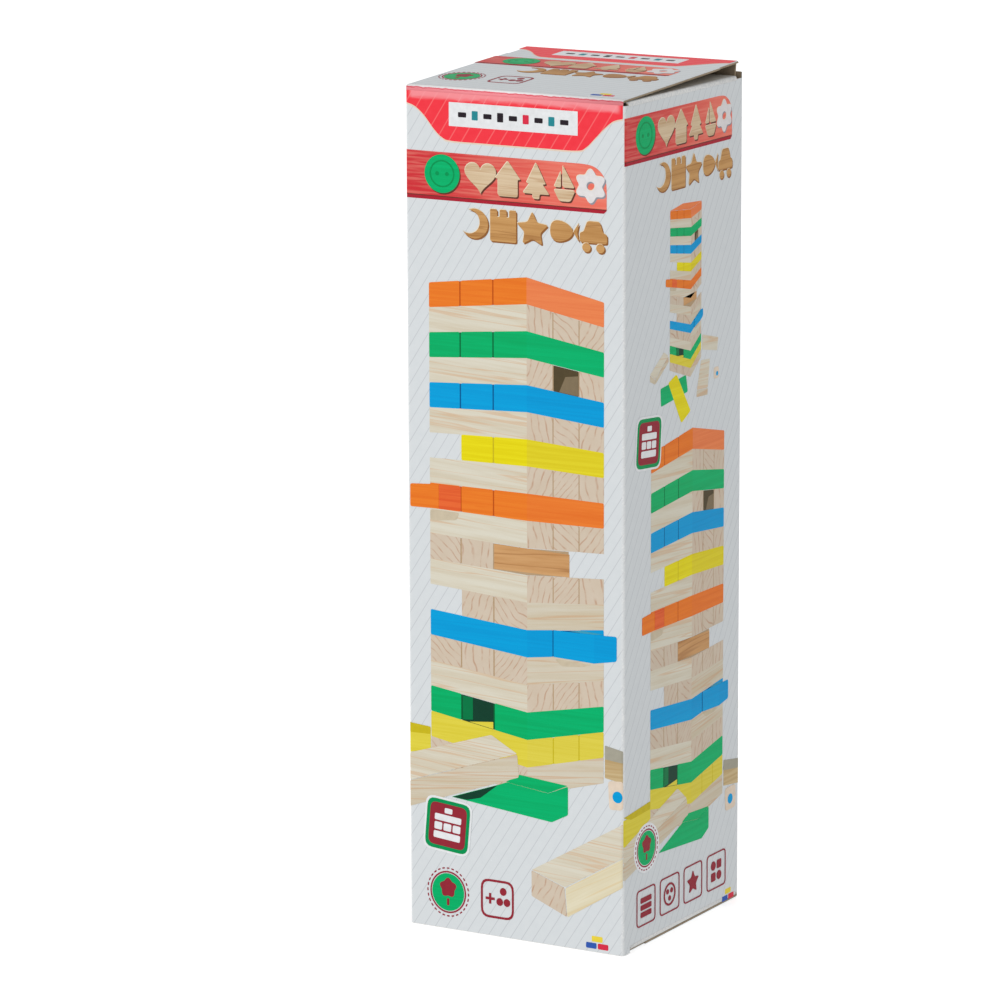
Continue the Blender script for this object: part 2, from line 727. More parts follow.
def petals(x, z, radius, number, depth, count=60):
    outline = []
    for turn in full_turn(count):
        size = radius * (1 + depth * math.cos(number * turn))
        outline.append((x + size * math.sin(turn), z + size * math.cos(turn)))
    return outline


def bar(x0, z0, x1, z1, radius=0.5):
    return rounded([(x0, z0), (x1, z0), (x1, z1), (x0, z1)], radius)


def star(x, z, outer, inner, points=5):
    corners = []
    for step in range(points * 2):
        size, turn = (outer, inner)[step % 2], math.pi * step / points
        corners.append((x + size * math.sin(turn), z + size * math.cos(turn)))
    return rounded(corners, outer * 0.16)


def shifted(outlines, dx, dz):
    return [[(x + dx, z + dz) for x, z in outline] for outline in outlines]


def turned(outlines, x0, z0, degrees):
    c, s = math.cos(math.radians(degrees)), math.sin(math.radians(degrees))
    return [
        [(x0 + (x - x0) * c - (z - z0) * s, z0 + (x - x0) * s + (z - z0) * c) for x, z in outline]
        for outline in outlines
    ]


print("a disc has", len(disc(0, 0, 1)), "points")

# %% [markdown]
# ## Ink films
# Ink lies on the board as a film. A film is drawn flat on a panel, whose place says where its
# lower left corner is and which ways are across and up. The art isn't spaced quite evenly:
# halfway up it sits a few millimetres high on the front and low on the side, and RISE says by
# how much.

# %% Panels
def panel(origin, across, upward):
    across, upward, origin = Vector(across), Vector(upward), Vector(origin)
    place = Matrix((across, upward, across.cross(upward))).transposed().to_4x4()
    return Matrix.Scale(MM, 4) @ Matrix.Translation(origin) @ place


half_w, half_d = WIDE / 2, DEEP / 2
lid_slope = (0, math.cos(LID_AJAR), math.sin(LID_AJAR))
PANELS = {
    "front": ("carton", panel((-half_w, -half_d, 0), (1, 0, 0), (0, 0, 1))),
    "right": ("carton", panel((half_w, -half_d, 0), (0, 1, 0), (0, 0, 1))),
    "lid": ("lid", panel((-half_w, -half_d, TALL), (1, 0, 0), lid_slope)),
}
OPPOSITE = {"front": "back", "right": "left"}
RISE = {"front": 3.9, "right": -2.9, "lid": 0}
print("panels:", sorted(PANELS))

# %% [markdown]
# Each film is a flat filled curve, given a thickness, made a mesh and laid on its panel. One
# that reaches an upright crease is cut across a few times there and bent round the crease's
# radius with the board. Later layers stand a hair higher.

# %% Films
LAYER, SUNK, WELD = 0.03, 0.02, 0.0004
CUTS, NEAR = 4, 0.01
films, fresh = [], []


def wrap(co):
    """Bend a point of a flat film round the upright crease at its side."""
    side = 1 if co.x < WIDE / 2 else -1
    inward = co.x if side == 1 else WIDE - co.x
    if inward < CREASE:
        turn = (CREASE - inward) / CREASE * math.pi / 4
        inward = CREASE - (CREASE + co.z) * math.sin(turn)
        co.z = (CREASE + co.z) * math.cos(turn) - CREASE
        co.x = inward if side == 1 else WIDE - inward


def filled(name, outlines, thickness):
    """Outlines drawn as one flat curve, filled, given a thickness and made a mesh."""
    drawing = bpy.data.curves.new(name, "CURVE")
    drawing.dimensions, drawing.fill_mode = "2D", "BOTH"
    drawing.extrude = thickness / 2
    for outline in outlines:
        line = drawing.splines.new("POLY")
        line.points.add(len(outline) - 1)
        for point, (x, z) in zip(line.points, outline):
            point.co = (x, z, 0, 1)
        line.use_cyclic_u = True
    piece = bpy.data.objects.new(name, drawing)
    bpy.context.scene.collection.objects.link(piece)
    pick(piece)
    bpy.ops.object.convert(target="MESH")
    return bpy.context.object


def film(name, face, ink, layer, outlines):
    def lifted(z):
        return z + RISE[face] * 4 * (z / TALL) * (1 - z / TALL)

    body, place = PANELS[face]
    moved = [[(x, lifted(z)) for x, z in outline] for outline in outlines]
    piece = filled(face + "_" + name, moved, layer * LAYER + SUNK)
    edit(piece)
    bpy.ops.mesh.remove_doubles(threshold=WELD)
    if face != "lid":
        reached = [x for outline in outlines for x, z in outline]
        low, high = min(reached), max(reached)
        for step in range(1, CUTS + 1):
            for cut in (CREASE * step / CUTS, WIDE - CREASE * step / CUTS):
                if low < cut - NEAR and high > cut + NEAR and (low < CREASE or cut > WIDE / 2):
                    bpy.ops.mesh.select_all(action="SELECT")
                    bpy.ops.mesh.bisect(plane_co=(cut, 0, 0), plane_no=(1, 0, 0))
    bpy.ops.mesh.select_all(action="SELECT")
    bpy.ops.mesh.normals_make_consistent(inside=False)
    leave_edit()
    mesh = piece.data
    mesh.transform(Matrix.Translation((0, 0, (layer * LAYER - SUNK) / 2)))
    if face != "lid":
        for vertex in mesh.vertices:
            wrap(vertex.co)
    mesh.transform(place)
    mesh.materials.clear()
    mesh.materials.append(inks[ink])
    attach(piece, body)
    fresh.append(piece)
    return piece


print("a layer is", LAYER, "mm and is sunk", SUNK, "mm into the board")

# %% [markdown]
# A wall carries many films. Those of one picture are joined, so that each panel has one piece
# for its header, one for its title and so on, with an ink for each of its parts.

# %% Binding
def bind(group):
    """Join the films drawn since the last call into one piece for each panel."""
    drawn = {face: [piece for piece in fresh if piece.name.startswith(face + "_")] for face in PANELS}
    for face, mine in drawn.items():
        if mine:
            bpy.ops.object.select_all(action="DESELECT")
            for piece in mine:
                piece.select_set(True)
            bpy.context.view_layer.objects.active = mine[0]
            if len(mine) > 1:
                bpy.ops.object.join()
            mine[0].name = face + "_" + group
            films.append(mine[0])
    fresh.clear()
    print(group, "bound, printed pieces so far:", len(films))


print("to bind:", len(fresh))

# %% [markdown]
# ## The header
# A red field hangs from the top edge with a swooping lower edge and a pale outline. It carries
# a white label. The label's own lettering is left out: a row of small plain counters stands in.

# %% Header and label
def header(face, top, ink, right_end):
    """top is where the field's upper edge is. The swoop hangs below it."""
    swoop = [
        (0.2, -4.9), (3.6, -6.0), (7.2, -9.0), (10.8, -13.4), (13.8, -16.0), (17.2, -16.9), (30, -17.0),
        (50, -17.0), (62.8, -16.9), (66.2, -15.6), (69.2, -12.6), (72.8, -8.8), (76, -6.2),
        (right_end, -5.2),
    ]
    for name, layer, drop, colour in (("header_rim", 1, 0.55, "cream"), ("header", 2, 0, ink)):
        edge = [(x, top + z - drop) for x, z in flowing(swoop)]
        film(name, face, colour, layer, [[(0.2, top), *edge, (right_end, top)]])
    label_low = top - 11.9
    film("label", face, "white", 3, [bar(16.3, label_low, 63.2, label_low + 8.1, 0.15)])
    counters = []
    for number in range(9):
        x = 21.2 + number * 4.65
        half, foot, head = (1.1, 2.5, 5.6) if number % 2 else (1.5, 3.2, 4.9)
        counters.append(bar(x - half, label_low + foot, x + half, label_low + head, 0.3))
    film("label_counters", face, "charcoal", 4, counters[::2] + counters[3:4])
    film("label_counters_teal", face, "teal", 4, [counters[1], counters[7]])
    film("label_counters_red", face, "mark_red", 4, [counters[5]])


header("front", TALL - 1.0, "header", 79.4)
header("lid", DEEP - 1.8, "lid_header", 78.6)
bind("header")

# %% [markdown]
# ## The title board
# Below the header a red plank carries pictures of flat wooden shapes in two rows. The real
# carton spells its name with them. Here they are plain toy shapes of the same sizes and woods:
# a heart, a house, a tree, a boat and a white flower, then a moon, a castle, a star, a fish
# and a car in a darker wood.
# Each is drawn three times, as a shadow, a light edge and a face, so that it looks raised.

# %% Toy shapes
def heart(x, z, size):
    outline = []
    for a in full_turn(40):
        up = 13 * math.cos(a) - 5 * math.cos(2 * a) - 2 * math.cos(3 * a) - math.cos(4 * a)
        outline.append((x + size * math.sin(a) ** 3 * 16 / 17, z + size * up / 17))
    return outline


def moon(x, z, radius):
    outer = [(x + radius * math.cos(a), z + radius * math.sin(a)) for a in
             [math.radians(50 + 260 * step / 30) for step in range(31)]]
    inner = [(x + radius * (0.42 + 0.8 * math.cos(a)), z + radius * 0.8 * math.sin(a)) for a in
             [math.radians(288 - 216 * step / 22) for step in range(23)]]
    return rounded([*outer, *inner], 0.4, 2)


def toy_rows():
    pale = [
        heart(27.9, 248.6, 6.1),
        rounded([(34.3, 242.4), (34.3, 248.3), (33.2, 248.3), (37.9, 254.4), (42.6, 248.3), (41.5, 248.3),
                 (41.5, 242.4)], 0.9),
        rounded([(47, 242.4), (47, 244.1), (43.3, 244.1), (45.9, 247.5), (44.6, 247.5), (48.2, 254.6),
                 (51.8, 247.5), (50.5, 247.5), (53.1, 244.1), (49.4, 244.1), (49.4, 242.4)], 0.7),
        rounded([(54.6, 246.2), (56.6, 242.4), (60.6, 242.4), (62.4, 246.2)], 0.9),
        rounded([(57.9, 247), (57.9, 254.5), (62.2, 247)], 0.7),
        rounded([(57.2, 247), (57.2, 252.4), (54.7, 247)], 0.5),
    ]
    white = [petals(67.9, 248.2, 4.9, 6, 0.16), disc(67.9, 248.2, 1.5, 16)]
    tan = [
        *turned([moon(25.6, 232.5, 5)], 25.6, 232.5, 165),
        rounded([(31.4, 227.2), (31.4, 237.9), (33.9, 237.9), (33.9, 235.4), (34.9, 235.4),
                 (34.9, 237.9), (37.4, 237.9), (37.4, 235.4), (38.4, 235.4), (38.4, 237.9),
                 (40.9, 237.9), (40.9, 227.2)], 0.6),
        star(46.8, 232.1, 6.1, 3.0),
        [(56.8 + 4.1 * math.cos(a) + 0.6 * math.cos(2 * a), 232.5 + 3.5 * math.sin(a))
         for a in full_turn(36)],
        rounded([(61.6, 232.5), (63.7, 235.6), (63.1, 232.5), (63.7, 229.4)], 0.3),
        rounded([(64, 229.4), (64, 232.6), (65.4, 233), (66.7, 236.6), (71.2, 236.6), (72.4, 233),
                 (73.8, 232.4), (73.8, 229.4)], 0.9),
        disc(66.4, 227.8, 1.5, 20), disc(71.4, 227.8, 1.5, 20),
    ]
    return pale, white, tan


def title(face, plank, z_low, scale_x, scale_z):
    """The plank and both rows, with the plank's lower edge at z_low."""
    def fitted(outlines):
        return [[(x * scale_x, z_low + (z - 240) * scale_z) for x, z in outline] for outline in outlines]

    end = 73.6
    lip = [(0.05, 239.4), (72.6, 239.4), (end, 240.4), (end, 243), (0.05, 243)]
    board_corner = flowing([(64.5, 255.4), (68.5, 254.9), (71.6, 252.9), (73.3, 249.7), (end, 246)])
    film("plank_lip", face, "deep_red", 1, fitted([lip]))
    film("plank", face, plank, 2, fitted([[(0.05, 240.7), (0.05, 255.6), *board_corner, (end, 240.7)]]))
    edge = [(0.05, 240.55), (end - 0.2, 240.55), (end, 240.8), (0.05, 240.8)]
    film("plank_edge", face, "shadow", 3, fitted([edge]))
    button = [disc(13.7, 248.3, 6.5, 40)]
    film("button_shadow", face, "shadow", 3, fitted(shifted(button, 0.4, -0.5)))
    film("button", face, "green_right", 4, fitted(button))
    groove = [disc(13.7, 248.3, radius, 40) for radius in (4.6, 4.1)]
    holes = [disc(x, 248.3, 0.7, 14) for x in (11.9, 15.5)]
    film("button_groove", face, "green", 5, fitted([*groove, *holes]))
    pale, white, tan = toy_rows()
    for name, row, under, body in (
        ("pale_toys", pale, "shadow", "toy_pale"),
        ("white_toy", white, "grey_shadow", "frame_white"),
        ("tan_toys", tan, "tan_shadow", "toy_tan"),
    ):
        film(name + "_shadow", face, under, 3, fitted(shifted(row, 0.42, -0.5)))
        film(name + "_light", face, "light_wood", 4, fitted(shifted(row, -0.16, 0.2)))
        film(name, face, body, 5, fitted(row))


title("front", "plank_front", 240, 1, 1)
title("right", "plank_right", 257.9, 0.98, 0.9)
title("lid", "plank_lid", 44.5, 0.97, 0.86)
bind("title")

# %% [markdown]
# ## The picture of the tower
# The walls show the set itself: a tower of nineteen levels with a corner towards the viewer.
# Its lines run to two far points, so a level's height shrinks evenly from the near corner to
# each far edge. A spot on the tower is given by how far round it is, from -1 at the left edge
# through 0 at the corner to 1 at the right, and by how many levels down it is. One function
# turns that into millimetres, so every copy of the picture uses the same list of faces.

# %% Drawing the tower
def tower_view(left, corner, right_end):
    """Each is (across, height of the top edge, height of one level) in millimetres."""
    def seen(around, down):
        end = left if around < 0 else right_end
        share = abs(around)
        x, top, pitch = (a + (b - a) * share for a, b in zip(corner, end))
        return x, top - down * pitch
    return seen


front_view = tower_view((8.3, 211.4, 8.32), (44.6, 216.1, 8.906), (72.9, 210.1, 8.2))
print("the near corner's top is at", front_view(0, 0))

# %% [markdown]
# Odd levels show their three ends on the left and their long side on the right, and even levels
# the other way round. Six ends aren't in their places, because those blocks have been drawn out
# or pushed along. A hole shows the next block's side and the top of the level below.

# %% The tower's faces
THIRDS = (0, 0.34, 0.675, 1)
DRAWN_OUT = {(4, 1), (7, 2), (11, 0), (13, 2), (14, 1), (17, 1)}
SHORTER = {7: (-0.675, 1), 13: (-0.66, 1), 11: (-1, 0.55)}
OWN_SHADES = {9: ("orange_low", "orange_left"), 18: ("yellow_low", "yellow_side")}
WARM_LEVEL = 11


def tower_faces(seen):
    """Ink to outlines, for every face of the tower that shows, and what lies under the joints."""
    faces, under = {}, {}

    def face(ink, around_0, around_1, down_0, down_1, radius=0.35):
        a, b = sorted((around_0, around_1))
        # An edge on the tower's near corner meets its neighbour. The others keep a joint open.
        at_a, at_b = (0 if edge == 0 else 0.007 for edge in (a, b))
        spots = [(a + at_a, down_0), (b - at_b, down_0), (b - at_b, down_1), (a + at_a, down_1)]
        corners = tuple(0 if edge == 0 else radius for edge in (a, b, b, a))
        faces.setdefault(ink, []).append(rounded([seen(*spot) for spot in spots], corners, 3))

    sawn_names = list(SAWN)
    for number, stain in enumerate(LEVELS):
        level, down = number + 1, number
        sign = -1 if level % 2 else 1
        plain = stain == "natural"
        own, other = ("_left", "_right") if sign < 0 else ("_right", "_left")
        long = ("side" if sign > 0 else "side_dim") if plain else stain + other
        long, stained_end = OWN_SHADES.get(level, (long, stain + own))
        radius = 0.12 if plain else 0.6
        for third in range(3):
            end = sawn_names[(level * 5 + third * 3) % 4] if plain else stained_end
            if (level, third) not in DRAWN_OUT:
                face(end, sign * THIRDS[third], sign * THIRDS[third + 1], down, down + 1, radius)
        if level != WARM_LEVEL:
            face(long, 0, -sign, down, down + 1, radius)
        left, right = SHORTER.get(level, (-1, 1))
        bends = (left + 0.01, 0, right - 0.01)
        low = [seen(at, down + 0.99) for at in reversed(bends)]
        high = [seen(at, down + 0.02) for at in bends]
        under.setdefault("gap" if plain else stain + "_joint", []).append([*high, *low])
    face("hollow", THIRDS[1], THIRDS[2], 3.02, 4)
    face("hollow_green", -THIRDS[1], -THIRDS[2], 16.02, 17)
    warm = [seen(-0.335, 10.03), seen(0.55, 10.13), seen(0.55, 11.0), seen(-0.335, 10.97)]
    faces.setdefault("warm", []).append(warm)
    inner = {
        "hollow_pale": [[(0.5, 3.35), (0.664, 3.2), (0.664, 3.98), (0.42, 3.98)]],
        "green_dim": [[(-0.664, 16.06), (-0.56, 16.02), (-0.56, 16.86), (-0.664, 16.97)]],
        "yellow_low": [[(-0.6, 16.98), (-0.35, 16.72), (-0.35, 16.98)]],
    }
    inner = {ink: [[seen(*spot) for spot in spots] for spots in drawn] for ink, drawn in inner.items()}
    return faces, under, inner


print("faces on the tower:", sum(len(outlines) for outlines in tower_faces(front_view)[0].values()))

# %% [markdown]
# Two blocks are pushed half out, an orange one to the left and a blue one to the right. Each
# shows an end, a side in another shade and a soft shadow on the level below.

# %% Pushed blocks
def pushed_blocks(seen):
    """The orange block pushed out to the left and the blue one pushed out to the right."""
    drawn = {
        "wood_shadow": [
            ([(0.36, 14.08), (0.84, 14.36), (0.7, 14.42), (0.45, 14.36)], 0.8),
            ([(-0.99, 9.05), (-0.69, 9.05), (-0.72, 9.35), (-0.99, 9.5)], 1.0),
        ],
        "blue_joint": [([(0.332, 13.0), (0.345, 13.0), (0.345, 13.98), (0.332, 13.98)], 0)],
        "blue_top": [([(0.55, 13.055), (0.7, 13.02), (0.99, 13.175), (0.868, 13.175)], 0)],
        "orange_left": [([(-0.905, 8.03), (-1.198, 8.12), (-1.198, 9.04), (-0.905, 8.99)], 0.7)],
        "mark_orange": [([(-0.675, 8.03), (-0.9, 8.03), (-0.9, 8.99), (-0.675, 8.97)], 0.2)],
        "blue_left": [([(0.345, 13.0), (0.87, 13.19), (0.87, 14.3), (0.345, 14.0)], 0)],
        "blue_right": [([(0.87, 13.19), (1.16, 13.27), (1.16, 14.26), (0.87, 14.3)], (0, 0.8, 0.8, 0))],
    }
    return {
        ink: [rounded([seen(*spot) for spot in spots], radius) for spots, radius in shapes]
        for ink, shapes in drawn.items()
    }


print("inks for the pushed blocks:", sorted(pushed_blocks(front_view)))

# %% [markdown]
# The front has one tall tower. The side has the same picture at 78 percent with a small whole
# tower above it. The joints lie under the faces, and the pushed blocks lie over them.

# %% Towers on the walls
SIDE_SCALE = 0.78


def print_tower(name, face, seen):
    faces, under, inner = tower_faces(seen)
    for part, layer, drawn in (("under", 1, under), ("face", 2, faces), ("inner", 3, inner),
                               ("pushed", 4, pushed_blocks(seen))):
        for ink, outlines in drawn.items():
            film("_".join((name, part, ink)), face, ink, layer, outlines)


def shrunk(view, scale, corner_from, corner_to):
    """The same view, smaller and somewhere else."""
    def seen(around, down):
        x, z = view(around, down)
        (from_x, from_z), (to_x, to_z) = corner_from, corner_to
        return to_x + (x - from_x) * scale, to_z + (z - from_z) * scale
    return seen


whole_view = shrunk(front_view, SIDE_SCALE, (44.6, 216.1), (46.0, 168.5))


def side_view(around, down):
    """The side's picture was taken from nearer, so its lowest levels are drawn taller."""
    x, z = whole_view(around, down)
    return x, z - 0.022 * max(0, down - 9) ** 2


small_view = tower_view((30.1, 239.9, 2.65), (44.2, 238.7, 2.81), (51.5, 240.4, 2.62))
print_tower("tower", "front", front_view)
print_tower("tower", "right", side_view)
film("small_tower_top", "right", "orange_right", 1,
     [rounded([(30.2, 239.95), (38.8, 241.2), (51.4, 240.45), (44.2, 238.8)], 0.3)])
print_tower("small_tower", "right", small_view)
bind("tower")

# %% [markdown]
# ## The loose blocks round the tower
# Blocks that were drawn out lie on the table in front of the tower and behind it, with the
# die. Each is two or three faces, lighter above and darker at the side.

# %% Loose blocks on the front
def lay(face, blocks):
    """Each row is a name, a layer, an ink, a corner radius and one or more outlines."""
    for name, layer, ink, radius, *outlines in blocks:
        film(name, face, ink, layer, [rounded(corners, radius) for corners in outlines])


lay("front", [
    ("yellow_behind", 3, "yellow_low", 0.4, [(0.1, 65), (8.3, 64.4), (8.3, 57.4), (0.1, 55.4)]),
    ("yellow_behind_top", 4, "yellow_joint", 0.4, [(0.1, 65.2), (8.2, 64.6), (8.2, 62.2), (0.1, 62)]),
    ("natural_behind", 3, "behind", 0.3, [(73.2, 66.2), (79.9, 64.8), (79.9, 55), (73.2, 56)]),
    ("natural_behind_top", 4, "behind_top", 0.3, [(73.2, 66.4), (79.9, 65.2), (79.9, 61.4), (73.2, 62)]),
    ("green_flat", 3, "green_right", 0.5,
     [(16.1, 42.8), (33, 48.6), (37, 50.1), (52.3, 48.4), (59.6, 51.5), (59.6, 42.3), (53.6, 39.3)]),
    ("green_flat_top", 4, "green_left", 0.4, [(36.6, 50.2), (41.7, 53.1), (59.5, 51.7), (52.3, 48.5)]),
    ("green_flat_dark", 4, "hollow_green", 0.3, [(16.5, 42.8), (33.5, 48.7), (27, 43.8), (22, 42.5)]),
    ("natural_flat", 5, "side", 0.6, [(0.1, 55.2), (31.1, 64.7), (40.8, 59.7), (0.1, 46.3)]),
    ("natural_flat_side", 5, "side_dim", 0.6, [(0.1, 46.1), (40.8, 59.5), (41.4, 52.2), (0.1, 37.8)]),
    ("near_block_top", 3, "side", 0.4, [(46.2, 23.1), (79.9, 41.9), (79.9, 31.2), (58.5, 19.1)]),
    ("near_block_side", 3, "near_side", 0.4, [(58.7, 18.8), (79.9, 31), (79.9, 21.8), (59.4, 9.6)]),
    ("near_block_end", 3, "sawn_steep", 0.5, [(46.1, 22.9), (58.3, 18.9), (59.2, 9.7), (46.1, 14.7)]),
    ("die_picture", 5, "cream", 1.2, [(74.4, 55.2), (79.95, 55.6), (79.95, 46.4), (74.9, 46.1)]),
])
film("die_spot", "front", "blue_left", 6, [disc(77.9, 50.4, 1.85, 24)])
print("films on the front:", len(fresh))

# %% Loose blocks on the side
lay("right", [
    ("yellow_behind", 3, "yellow_low", 0.4, [(0.1, 46.6), (17.9, 48.4), (17.9, 42), (0.1, 37.4)]),
    ("yellow_behind_top", 4, "yellow_joint", 0.4, [(0.1, 47.6), (17.8, 49.2), (17.8, 46.6), (5, 46)]),
    ("natural_behind", 3, "behind", 0.3, [(68.8, 50), (79.9, 48.2), (79.9, 41), (68.8, 42.4)]),
    ("natural_behind_top", 4, "behind_top", 0.3, [(68.8, 51.4), (79.9, 49.6), (79.9, 46.4), (68.8, 47.8)]),
    ("green_flat", 3, "green_right", 0.5,
     [(23.7, 29.8), (40, 36.4), (52.2, 34.9), (58.3, 37.6), (58.3, 30.2), (53.4, 27.6)]),
    ("green_flat_top", 4, "green_left", 0.4, [(39.6, 36.5), (43.6, 38.7), (58.2, 37.8), (52.2, 35)]),
    ("natural_flat", 5, "side", 0.6, [(0.1, 37.3), (36.4, 49.2), (42.6, 44.4), (0.1, 31.6)]),
    ("natural_flat_side", 5, "side_dim", 0.6, [(0.1, 31.5), (42.6, 44.3), (43.9, 38.4), (0.1, 25.8)]),
    ("die_picture", 5, "cream", 1.4, [(69.8, 41), (77.2, 41.2), (77.2, 33.2), (70.2, 33)]),
])
film("die_spot", "right", "blue_left", 6, [disc(73.4, 36.8, 1.75, 24)])
lay("right", [
    ("scattered_natural", 2, "side", 0.5, [(17, 190.2), (26.2, 196), (29.2, 194.4), (20.4, 188.4)],
     [(52.4, 197.7), (63.3, 195.2), (62.6, 191), (52.4, 192.8)],
     [(51.6, 189.5), (57.6, 189.1), (56.2, 179.9), (48.8, 180.3)]),
    ("scattered_natural_side", 2, "side_dim", 0.3, [(17, 190), (20.4, 188.2), (20.4, 186.6), (17, 188)],
     [(20.6, 188.2), (29.2, 194.2), (29.4, 192.4), (20.6, 186.7)],
     [(48.7, 180.1), (56.2, 179.7), (56, 177.6), (48.6, 178)]),
    ("scattered_green", 2, "green_right", 0.7, [(24, 184.6), (41.2, 186.4), (42.5, 180.8), (24.4, 178.8)]),
    ("scattered_yellow", 3, "yellow_left", 0.9,
     [(29.2, 185.6), (34.8, 187.6), (44.4, 174.3), (38.2, 171.3)]),
    ("scattered_die", 3, "cream", 1, [(60.4, 185.7), (63.8, 185.7), (63.8, 182), (60.4, 182)]),
])
film("scattered_die_spot", "right", "blue_left", 4, [disc(62.6, 183.5, 0.75, 14)])
bind("blocks")

# %% [markdown]
# ## Badges and marks
# The corners carry small badges. The count of pieces, the kind of wood and the least age were
# lettered, so each badge keeps its place, size and colours and gets a plain sign instead:
# stacked blocks, a tree, a plus with three dots. The maker's dots become a small brick stack.

# %% Badges
BADGE_TILT = -5


def bar_at(x, z, size, x0, z0, x1, z1, radius=0.5):
    """A bar given by its corners' distances from (x, z), in units of size."""
    return bar(x + x0 * size, z + z0 * size, x + x1 * size, z + z1 * size, radius)


def count_badge(face, x, z, size):
    squares = [("rim", "white", 8.8, 3.2), ("border", "green", 8.1, 2.8), ("field", "maroon", 6.9, 2.2)]
    for number, (name, ink, half, radius) in enumerate(squares):
        square = bar_at(x, z, size, -half, -half, half, half, radius)
        film("count_badge_" + name, face, ink, 6 + number, turned([square], x, z, BADGE_TILT))
    stack = [bar_at(x, z, size, -5, -4.6, 5, -2.4)]
    stack += [bar_at(x, z, size, a - 1.45, -1.8, a + 1.45, 0.6) for a in (-3.45, 0, 3.45)]
    stack += [bar_at(x, z, size, -5, 1.2, 5, 3.3), bar_at(x, z, size, -1.45, 3.9, 1.45, 5.6, 0.4)]
    film("count_badge_stack", face, "white", 9, turned(stack, x, z, BADGE_TILT))


def tree_badge(face, x, z, size, layer=2):
    ring = [disc(x, z, 7.3 * size, 44), disc(x, z, 6.75 * size, 44)]
    dashes = []
    for turn in full_turn(28):
        cx, cz = x + 8.3 * size * math.cos(turn), z + 8.3 * size * math.sin(turn)
        dashes += turned([bar(cx - 0.22, cz - 0.5, cx + 0.22, cz + 0.5, 0.2)], cx, cz, math.degrees(turn))
    film("tree_badge_ring", face, "maroon", layer, [*ring, *dashes])
    film("tree_badge_field", face, "green_left", layer, [disc(x, z, 6.5 * size, 44)])
    crown = petals(x, z + 1.5 * size, 3.1 * size, 5, 0.12)
    trunk = bar_at(x, z, size, -0.5, -4.6, 0.5, -2.2, 0.2)
    film("tree_badge_tree", face, "maroon", layer + 1, [crown, trunk])


def age_badge(face, x, z, size):
    half = 6.2 * size
    frame_edges = [bar_at(x, z, 1, -reach, -reach, reach, reach, radius) for reach, radius in
                   ((half, 3), (half - 0.75, 2.4))]
    film("age_badge_frame", face, "maroon", 2, frame_edges)
    a, b = 1.7 * size, 0.42 * size
    arms = [(-a, -b), (-b, -b), (-b, -a), (b, -a), (b, -b), (a, -b)]
    arms += [(-dx, -dz) for dx, dz in arms]
    plus = [(x - 2.7 * size + dx, z + dz) for dx, dz in arms]
    spots = ((2.2, 2.7), (0.9, -0.7), (3.6, -0.7))
    dots = [disc(x + dx * size, z + dz * size, 1.25 * size, 18) for dx, dz in spots]
    film("age_badge_sign", face, "maroon", 3, [plus, *dots])


def brick_mark(face, x, z):
    bricks = {"mark_blue": (-4.1, -1.9, -0.25, -0.1), "mark_red": (0.25, -1.9, 4.1, -0.1),
              "mark_yellow": (-2, 0.3, 2, 2.1)}
    for ink, corners in bricks.items():
        film(ink, face, ink, 2, [bar_at(x, z, 1, *corners, 0.4)])


count_badge("front", 14.6, 33.2, 1)
tree_badge("front", 14.6, 11.7, 0.93)
age_badge("front", 33.2, 11.8, 1)
brick_mark("front", 70.4, 2.9)
count_badge("right", 16, 168.6, 0.98)
film("tree_badge_card", "right", "white", 6, [disc(15.2, 33.8, 8.5, 44)])
tree_badge("right", 15.2, 33.8, 0.9, 7)
brick_mark("right", 72.4, 2.9)
tree_badge("lid", 9.5, 20, 0.9)
age_badge("lid", 27.6, 19.8, 1)
brick_mark("lid", 69, 6.6)

FRAME_ENDS = ((8.8, 21.5), (24.6, 38), (41, 53.9), (57.2, 70.5))
frames, signs = [], []
for number, (x0, x1) in enumerate(FRAME_ENDS):
    frames += [bar(x0, 7.2, x1, 20.1, 1.8), bar(x0 + 0.45, 7.65, x1 - 0.45, 19.65, 1.4)]
    cx, cz = (x0 + x1) / 2, 13.6
    if number == 0:
        signs += [bar_at(cx, cz, 1, -3.6, low, 3.6, low + 1.8, 0.4) for low in (-3.4, -0.9, 1.6)]
    elif number == 1:
        signs += [disc(cx, cz, 4, 30), disc(cx, cz, 3.3, 30)]
        signs += [disc(cx + dx, cz + dz, 0.9, 14) for dx, dz in ((-1.4, 1.1), (1.4, 1.1), (0, -1.4))]
    elif number == 2:
        signs += [star(cx, cz, 4.3, 2.1)]
    else:
        signs += [bar_at(cx, cz, 1, low, low, low + 3, low + 3) for low in (-3.5, 0.5)]
        signs += [disc(cx - 2, cz + 2, 1.6, 18), disc(cx + 2, cz - 2, 1.6, 18)]
film("skill_frames", "right", "maroon", 6, frames)
film("skill_signs", "right", "maroon", 6, signs)
bind("badges")

# %% [markdown]
# ## The back and the left
# A carton like this repeats its front art on the back and its side art on the other side. So
# those films are copied, each with its own mesh, and turned half round the upright middle.

# %% Opposite walls
half_turn = Matrix.Rotation(math.pi, 4, "Z")
for piece in list(films):
    face, rest = piece.name.split("_", 1)
    if face in OPPOSITE:
        twin = piece.copy()
        twin.data = piece.data.copy()
        twin.name = OPPOSITE[face] + "_" + rest
        twin.data.transform(half_turn)
        bpy.context.scene.collection.objects.link(twin)
        films.append(twin)
print("films in all:", len(films))

# %% [markdown]
# The base flaps are cut short at the front, and the side walls reach down to the table there.
# A small patch of the same printed board closes each of those two front corners, so the
# sleeve's own finish serves as its ink. The left one is drawn on the right wall's far end and
# turned half round.

